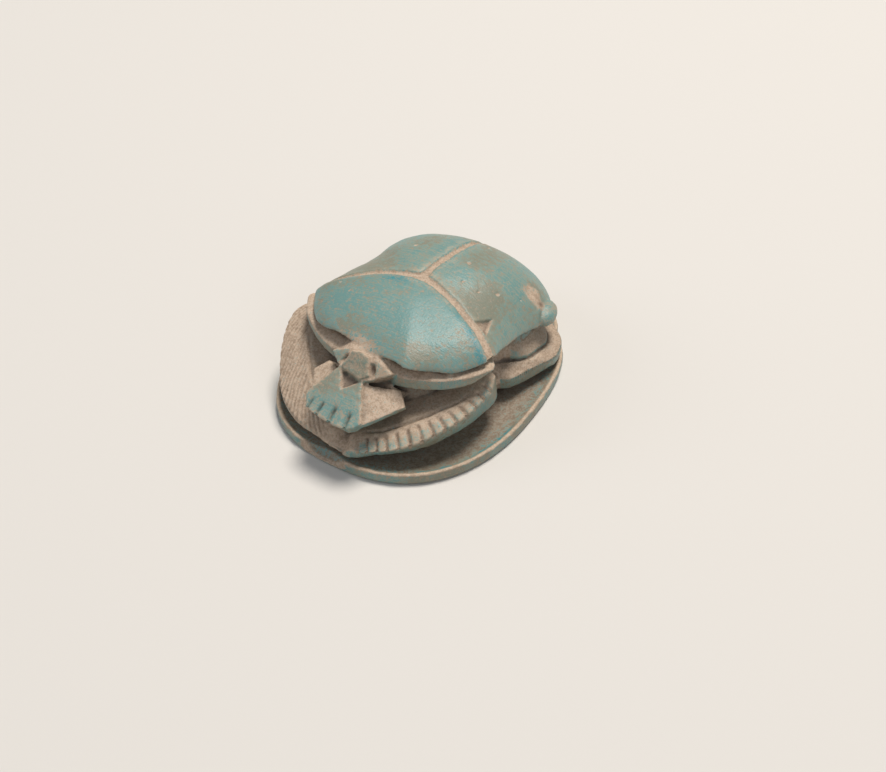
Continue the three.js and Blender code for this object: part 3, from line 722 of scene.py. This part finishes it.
def glazedSteatite():
    # steatite (soapstone) carved by hand, fired with a thin blue-green glaze that handling wore through:
    # satin where glaze is left, matt and cream where the stone is bare, dark brown for dirt in strokes and
    # painted shade in hollows, and a stain brown that also paints shade under overhangs and on downward faces
    material = bpy.data.materials.new("glazedSteatite")
    material.use_nodes = True
    tree = material.node_tree
    tree.nodes.clear()
    look = glazeLook
    place = addNode(tree, "ShaderNodeTexCoord").outputs["Object"]
    turned = addNode(tree, "ShaderNodeMapping", {
        "Rotation": (0, 0, look["scratchTurn"]), "Scale": [1 / (size * mm) for size in look["scratchSize"]],
    }, {"Vector": place}).outputs["Vector"]

    value = {}
    for name in masks:
        value[name] = addNode(tree, "ShaderNodeAttribute", {"attribute_name": name}).outputs["Fac"]
    noises = {  # scale, detail, roughness and coordinates
        "grain": [1 / (look["grainSize"] * mm), 2, 0.7, place],
        "mottle": [1 / (look["mottleSize"] * mm), 4, 0.6, place],
        "scratch": [1, 2, 0.6, turned],
    }
    for name, (scale, detail, roughness, where) in noises.items():
        value[name] = addNode(tree, "ShaderNodeTexNoise", {
            "Scale": scale, "Detail": detail, "Roughness": roughness}, {"Vector": where}).outputs["Fac"]

    for name, (mask, weights, low, high) in look["shares"].items():  # mask + sum of weight * (noise - 1/2)
        total = value[mask]
        for noise, weight in weights.items():
            total = addNode(tree, "ShaderNodeMath", {"operation": "MULTIPLY_ADD", 1: weight},
                            {0: value[noise], 2: total}).outputs[0]
        middle = sum(weights.values()) / 2
        value[name] = addNode(tree, "ShaderNodeMapRange", {
            "interpolation_type": "SMOOTHSTEP", "From Min": low + middle, "From Max": high + middle,
        }, {"Value": total}).outputs["Result"]

    colour = {}
    for name, under, over, share in look["layers"]:
        ends = {6: under, 7: over}  # the mix node's two colour sockets
        plain = {socket: linearOf(look[end]) for socket, end in ends.items() if end in look}
        made = {socket: colour[end] for socket, end in ends.items() if end in colour}
        layer = addNode(tree, "ShaderNodeMix", {"data_type": "RGBA", **plain}, {0: value[share], **made})
        colour[name] = layer.outputs[2]

    height = value["mottle"]
    for noise, weight in look["bumpWeights"].items():
        height = addNode(tree, "ShaderNodeMath", {"operation": "MULTIPLY_ADD", 1: weight},
                         {0: value[noise], 2: height}).outputs[0]
    fine = addNode(tree, "ShaderNodeBump", {
        "Strength": look["bumpStrength"], "Distance": look["bumpDepth"] * mm,
    }, {"Height": height}).outputs["Normal"]
    sheen = addNode(tree, "ShaderNodeMapRange", {"To Min": look["matt"], "To Max": look["satin"]},
                    {"Value": value["covered"]}).outputs["Result"]
    shader = addNode(tree, "ShaderNodeBsdfPrincipled", {"IOR": 1.52, "Metallic": 0.0},
                     {"Base Color": colour["finished"], "Roughness": sheen, "Normal": fine})
    addNode(tree, "ShaderNodeOutputMaterial", {}, {"Surface": shader.outputs["BSDF"]})
    return material


amulet.data.materials.append(glazedSteatite())
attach(amulet, "root")
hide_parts("scarab")
print("material done")


studio = {
    "floorColour": "#d9d6d1", "floorHalf": 0.6, "skyColour": "#e6ebf0", "skyStrength": 0.26,
    "lights": [  # place in metres, side in metres, watts, colour
        ["key", (0.02, 0.14, 0.42), 0.16, 1.9, "#fff8f0"],
        ["fill", (0.36, -0.22, 0.3), 0.3, 0.3, "#f2f6ff"],
        ["low", (-0.35, -0.2, 0.25), 0.3, 0.3, "#f4f7ff"],
    ],
}


def makeFloor():
    half = studio["floorHalf"]
    flat = np.array([[-half, -half, 0], [half, -half, 0], [half, half, 0], [-half, half, 0]])
    floor = makeObject("floor", flat, np.array([[0, 1, 2, 3]]))
    plain = bpy.data.materials.new("matPaper")  # plain matt paper, pale and without a sheen
    plain.use_nodes = True
    shader = plain.node_tree.nodes["Principled BSDF"]
    shader.inputs["Base Color"].default_value = linearOf(studio["floorColour"])
    shader.inputs["Roughness"].default_value = 0.9
    floor.data.materials.append(plain)
    return floor


def makeLights():
    for name, place, side, watts, colour in studio["lights"]:
        light = bpy.data.lights.new(name, "AREA")
        light.shape, light.size, light.energy = "DISK", side, watts
        light.color = linearOf(colour)[:3]
        lamp = bpy.data.objects.new(name, light)
        lamp.location = place
        lamp.rotation_euler = (Vector((0, 0, 0.004)) - Vector(place)).to_track_quat("-Z", "Y").to_euler()
        bpy.context.scene.collection.objects.link(lamp)
    world = bpy.data.worlds.new("paleStudio")
    world.use_nodes = True
    sky = world.node_tree.nodes["Background"]
    sky.inputs["Color"].default_value = linearOf(studio["skyColour"])
    sky.inputs["Strength"].default_value = studio["skyStrength"]
    bpy.context.scene.world = world


viewpoint = {  # degrees, mm, and the lens in mm on a 36 mm sensor
    "azimuth": 33.89, "elevation": 42.917, "roll": -1.995,
    "distance": 91.88, "aside": -1.203, "above": 0.919, "lens": 58.045,
}


def makeCamera():
    a, e, r = (np.radians(viewpoint[key]) for key in ("azimuth", "elevation", "roll"))
    right = np.array([np.cos(a), np.sin(a), 0])
    up = np.array([-np.sin(a) * np.sin(e), np.cos(a) * np.sin(e), np.cos(e)])
    behind = np.array([np.sin(a) * np.cos(e), -np.cos(a) * np.cos(e), np.sin(e)])
    right, up = np.cos(r) * right + np.sin(r) * up, np.cos(r) * up - np.sin(r) * right
    eye = viewpoint["distance"] * behind - viewpoint["aside"] * right - viewpoint["above"] * up
    data = bpy.data.cameras.new("studioCamera")
    data.sensor_width, data.sensor_fit, data.lens = 36, "HORIZONTAL", viewpoint["lens"]
    data.clip_start, data.clip_end = 0.005, 10
    camera = bpy.data.objects.new("studioCamera", data)
    pose = Matrix.Identity(4)
    for row in range(3):
        pose[row][:] = right[row], up[row], behind[row], eye[row] * mm
    camera.matrix_world = pose
    bpy.context.scene.collection.objects.link(camera)
    bpy.context.scene.camera = camera


makeFloor()
makeLights()
makeCamera()
bpy.context.scene.view_settings.view_transform = "Standard"
print("studio done")

bpy.context.view_layer.update()
